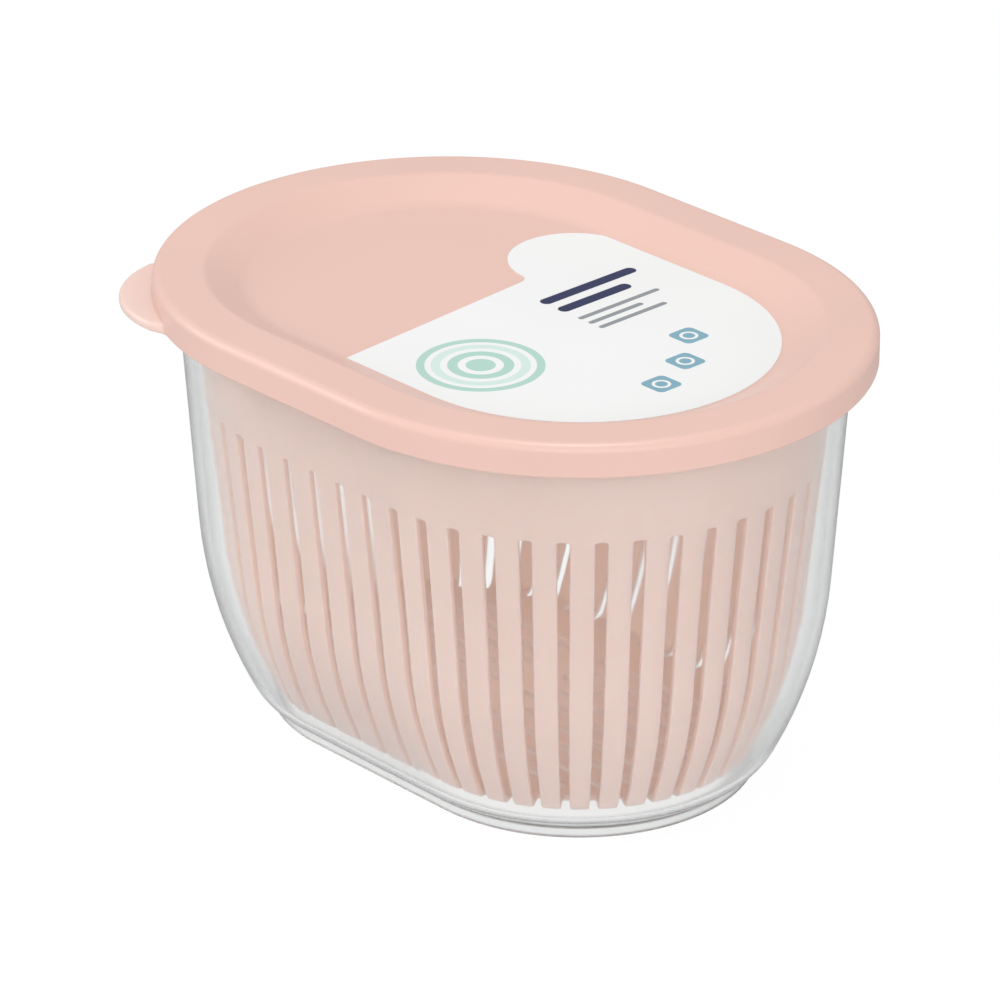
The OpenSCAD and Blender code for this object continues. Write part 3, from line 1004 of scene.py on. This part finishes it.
def bar_group():
    """Mask of a bar with round corners on the label."""
    nodes, inputs, outputs = value_group("printed bar", [
        ("Centre", "Vector"), ("Half Size", "Vector"), ("Corner", "Float")], [("Mask", "Float")])
    away = nodes.vector("ABSOLUTE", from_centre(nodes, inputs["Centre"]))
    past = nodes.vector("ADD", nodes.vector("SUBTRACT", away, inputs["Half Size"]),
                        nodes.xyz(inputs["Corner"], inputs["Corner"]))
    outside = nodes.length(nodes.vector("MAXIMUM", past, (0, 0, 0)))
    distance = nodes.math("SUBTRACT", outside, inputs["Corner"])
    return ink_up_to(nodes, distance, outputs["Mask"])


def ring_group():
    """Mask of a ring on the label; a disc where its width is its radius."""
    nodes, inputs, outputs = value_group("printed ring", [
        ("Centre", "Vector"), ("Radius", "Float"), ("Half Width", "Float")], [("Mask", "Float")])
    away = nodes.length(from_centre(nodes, inputs["Centre"]))
    off_circle = nodes.math("ABSOLUTE", nodes.math("SUBTRACT", away, inputs["Radius"]))
    distance = nodes.math("SUBTRACT", off_circle, inputs["Half Width"])
    return ink_up_to(nodes, distance, outputs["Mask"])


def label_film(group):
    """Printed film: a white ground with a generic print of rings, bars and tiles."""
    material, nodes, shader, colour = satin("label film", group, LABEL_WHITE, LABEL_FINISH)
    rings, bars = ring_group(), bar_group()
    prints = [(rings, ink, RING_CENTRE, {"Radius": radius * MM, "Half Width": half_width * MM})
              for radius, half_width, ink in RINGS]
    prints += [(bars, ink, (x, y), {
        "Half Size": (half_x * MM, half_y * MM, 0), "Corner": min(half_x, half_y) * MM})
        for x, y, half_x, half_y, ink in BARS]
    for centre in TILES:
        prints.append((bars, TEAL, centre, {
            "Half Size": (TILE_HALF * MM, TILE_HALF * MM, 0), "Corner": TILE_CORNER * MM}))
        prints.append((rings, LABEL_WHITE, centre, {
            "Radius": TILE_DOT * MM, "Half Width": TILE_RING * MM}))
    for shape, ink, (x, y), sizes in prints:
        mask = placed(nodes, shape, {"Centre": (x * MM, y * MM, 0), **sizes}).outputs["Mask"]
        colour = nodes.mix(mask, colour, ink, data_type="RGBA")
    nodes.link(colour, shader.inputs["Base Color"])
    return material


def dress(node, material):
    """Gives a CAD node its material."""
    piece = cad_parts[node]
    piece.data.materials.clear()
    piece.data.materials.append(material)


# Studio and camera

def level_for_rays(nodes, direct, mirrored, other):
    """A brightness for rays that look straight or through clear plastic, one for rays
    that a surface mirrors, and one for light that falls on the object."""
    rays = nodes.node("ShaderNodeLightPath").outputs
    seen = nodes.math("MAXIMUM", rays["Is Camera Ray"], rays["Is Transmission Ray"])
    mirror = nodes.math("MAXIMUM", nodes.math("SUBTRACT", rays["Is Glossy Ray"], seen), 0.0)
    total = nodes.math("ADD", nodes.math("MULTIPLY", seen, direct - other),
                       nodes.math("MULTIPLY", mirror, mirrored - other))
    return nodes.math("ADD", total, other)


def inside_glow():
    """A faint lamp in the basket, for the light that the thin pink walls pass on."""
    data = bpy.data.lights.new("inside glow", "POINT")
    data.energy = GLOW_POWER
    data.shadow_soft_size = GLOW_SIZE
    lamp = new_object("inside glow", data)
    lamp.location = GLOW_PLACE
    lamp.visible_camera = lamp.visible_glossy = lamp.visible_transmission = False


def floor():
    """A pale floor that keeps the object's shadow."""
    mesh = bpy.data.meshes.new("floor")
    h = FLOOR_HALF
    mesh.from_pydata([(-h, -h, 0), (h, -h, 0), (h, h, 0), (-h, h, 0)], [], [(0, 1, 2, 3)])
    piece = new_object("floor", mesh)
    piece.location.z = -FLOOR_DROP
    material, nodes = new_material("studio floor")
    grey = nodes.put("ShaderNodeBsdfDiffuse", (FLOOR_GREY, FLOOR_GREY, FLOOR_GREY, 1))
    white = nodes.node("ShaderNodeEmission")
    nodes.link(level_for_rays(nodes, FLOOR_GLOW, MIRRORED_LEVEL, 0.0), white.inputs["Strength"])
    share = level_for_rays(nodes, FLOOR_WHITE_SHARE, FLOOR_WHITE_SHARE, 0.0)
    mixed = nodes.put("ShaderNodeMixShader", share, grey, white.outputs[0])
    nodes.link(mixed, nodes.node("ShaderNodeOutputMaterial").inputs["Surface"])
    mesh.materials.append(material)


def area_light(name, place, size, power):
    """A lamp that faces the object."""
    data = bpy.data.lights.new(name, "AREA")
    data.shape = "RECTANGLE"
    data.size, data.size_y = size
    data.energy = power
    lamp = new_object(name, data)
    lamp.location = place
    aim = Vector(LIGHTS_TARGET) - Vector(place)
    lamp.rotation_euler = aim.to_track_quat("-Z", "Y").to_euler()


def studio():
    """White surroundings, the lamps and the floor."""
    world = bpy.data.worlds.new("studio")
    bpy.context.scene.world = world
    world.use_nodes = True
    nodes = NodeTree(world.node_tree)
    background = world.node_tree.nodes["Background"]
    nodes.link(level_for_rays(nodes, 1.0, MIRRORED_LEVEL, WORLD_LEVEL),
               background.inputs["Strength"])
    background.inputs["Color"].default_value = (1, 1, 1, 1)
    for name, (place, size, power) in LIGHTS.items():
        area_light(name, place, size, power)
    inside_glow()
    floor()


def camera():
    """The camera at the photograph's viewing angle."""
    data = bpy.data.cameras.new("camera")
    data.lens = CAMERA_LENS
    data.sensor_width = CAMERA_SENSOR
    data.clip_start = CAMERA_NEAR
    data.clip_end = CAMERA_FAR
    eye = new_object("camera", data)
    level = math.cos(CAMERA_ELEVATION)
    back = Vector((math.sin(CAMERA_AZIMUTH) * level, -math.cos(CAMERA_AZIMUTH) * level,
                   math.sin(CAMERA_ELEVATION)))
    eye.location = CAMERA_TARGET + back * CAMERA_DISTANCE
    eye.rotation_euler = (-back).to_track_quat("-Z", "Y").to_euler()
    bpy.context.scene.camera = eye


# The scene

bpy.context.scene.view_settings.view_transform = "Standard"
camera()
studio()
moulded_surface = moulded_group()
container_piece(clear_plastic(moulded_surface))
basket_piece(basket_plastic(moulded_surface))
lid_piece(lid_plastic(moulded_surface))
dress("label", label_film(moulded_surface))
